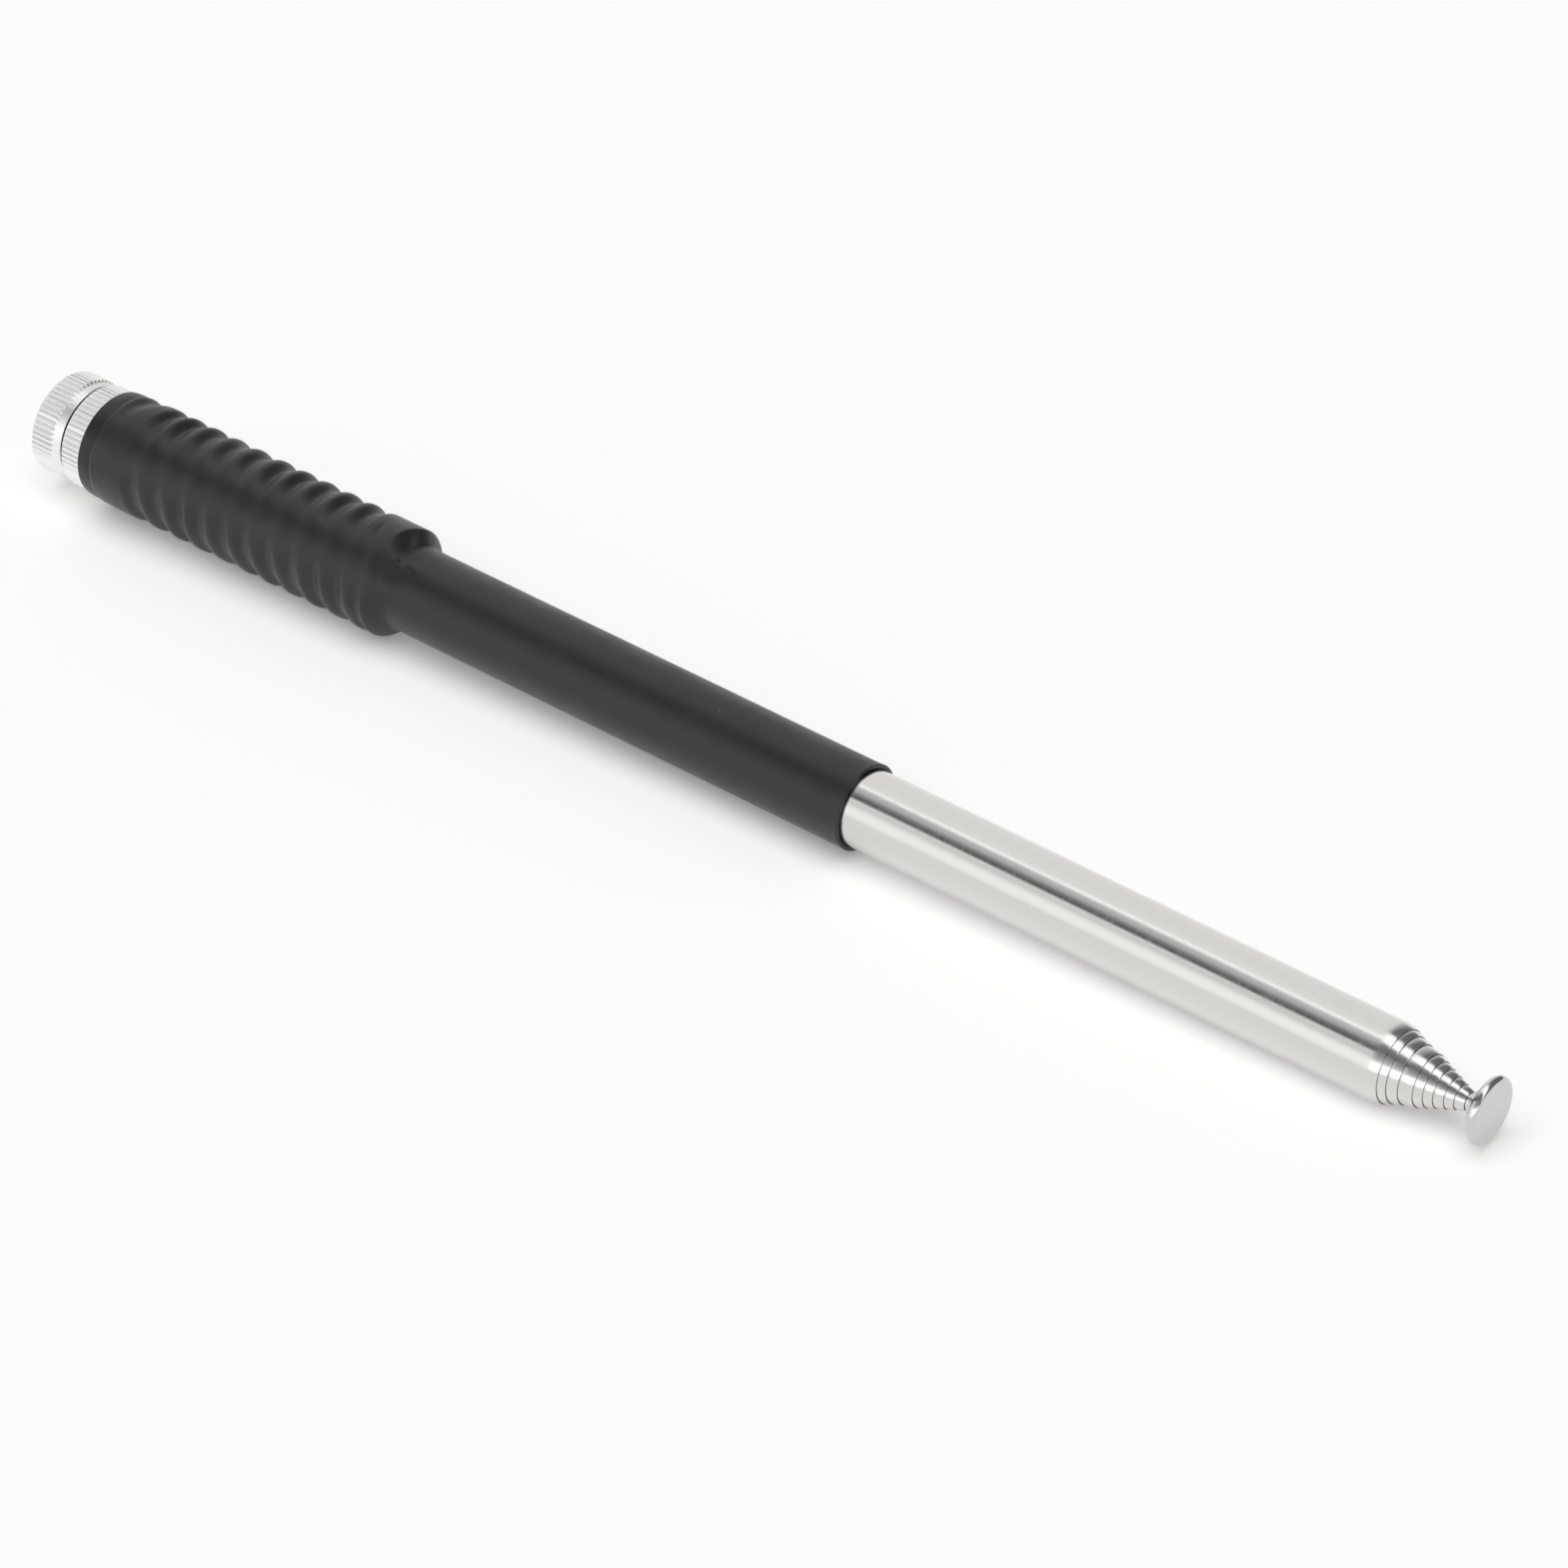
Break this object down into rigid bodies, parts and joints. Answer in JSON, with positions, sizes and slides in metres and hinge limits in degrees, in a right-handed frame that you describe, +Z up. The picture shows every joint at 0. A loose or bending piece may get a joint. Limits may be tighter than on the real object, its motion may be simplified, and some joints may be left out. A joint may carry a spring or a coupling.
{
  "type": "telescopic antenna",
  "caption": "Pull-out whip antenna with a knurled coaxial screw connector, a sleeved loading coil and a sliding metal mast with a turned tip cap.",
  "frame": {"origin": "on the surface that the antenna lies on, under the middle of the collapsed antenna", "axes": "+Z up; the tip points to +X and dips by 0.9 degrees, because the antenna lies on its sleeve's shoulder and on the mouth of its outer tube"},
  "size_m": [0.2036, 0.0136, 0.0142],
  "materials": {
    "nickel_plate": "nickel plate on brass, turned and polished",
    "insulator_plastic": "smooth white fluoroplastic",
    "gold_plate": "gold plate, polished",
    "former_plastic": "turned nylon rod",
    "copper_wire": "enamelled copper",
    "solder": "cooled solder",
    "bare_brass": "turned, bare",
    "heat_shrink": "satin black shrunk tubing",
    "spring_bronze": "rolled strip, bare"
  },
  "bodies": {
    "base": {"connector_body": "nickel_plate", "insulator": "insulator_plastic", "centre_pin": "gold_plate", "coil_former": "former_plastic", "loading_coil": "copper_wire", "solder_joint": "solder", "mast_ferrule": "bare_brass", "heat_shrink_sleeve": "heat_shrink", "mast_tube_1": "nickel_plate"},
    "draw_2": {"mast_tube_2": "nickel_plate", "foot_bush_2": "spring_bronze"},
    "draw_3": {"mast_tube_3": "nickel_plate", "foot_bush_3": "spring_bronze"},
    "draw_4": {"mast_tube_4": "nickel_plate", "foot_bush_4": "spring_bronze"},
    "draw_5": {"mast_tube_5": "nickel_plate", "foot_bush_5": "spring_bronze"},
    "draw_6": {"mast_tube_6": "nickel_plate", "foot_bush_6": "spring_bronze"},
    "draw_7": {"mast_tube_7": "nickel_plate", "foot_bush_7": "spring_bronze"},
    "draw_8": {"mast_tube_8": "nickel_plate", "foot_bush_8": "spring_bronze"},
    "draw_9": {"mast_tube_9": "nickel_plate", "foot_bush_9": "spring_bronze"},
    "draw_10": {"tip_rod": "nickel_plate", "tip_bush": "spring_bronze", "tip_cap": "nickel_plate"}
  },
  "joints": [
    {"name": "slide_2", "type": "slide", "parent": "base", "child": "draw_2", "axis": [0.9999, 0, -0.0157], "range_m": [0, 0.12251]},
    {"name": "slide_3", "type": "slide", "parent": "draw_2", "child": "draw_3", "axis": [0.9999, 0, -0.0157], "range_m": [0, 0.12341]},
    {"name": "slide_4", "type": "slide", "parent": "draw_3", "child": "draw_4", "axis": [0.9999, 0, -0.0157], "range_m": [0, 0.12461]},
    {"name": "slide_5", "type": "slide", "parent": "draw_4", "child": "draw_5", "axis": [0.9999, 0, -0.0157], "range_m": [0, 0.12621]},
    {"name": "slide_6", "type": "slide", "parent": "draw_5", "child": "draw_6", "axis": [0.9999, 0, -0.0157], "range_m": [0, 0.12721]},
    {"name": "slide_7", "type": "slide", "parent": "draw_6", "child": "draw_7", "axis": [0.9999, 0, -0.0157], "range_m": [0, 0.12821]},
    {"name": "slide_8", "type": "slide", "parent": "draw_7", "child": "draw_8", "axis": [0.9999, 0, -0.0157], "range_m": [0, 0.12931]},
    {"name": "slide_9", "type": "slide", "parent": "draw_8", "child": "draw_9", "axis": [0.9999, 0, -0.0157], "range_m": [0, 0.13031]},
    {"name": "slide_10", "type": "slide", "parent": "draw_9", "child": "draw_10", "axis": [0.9999, 0, -0.0157], "range_m": [0, 0.13141]}
  ]
}
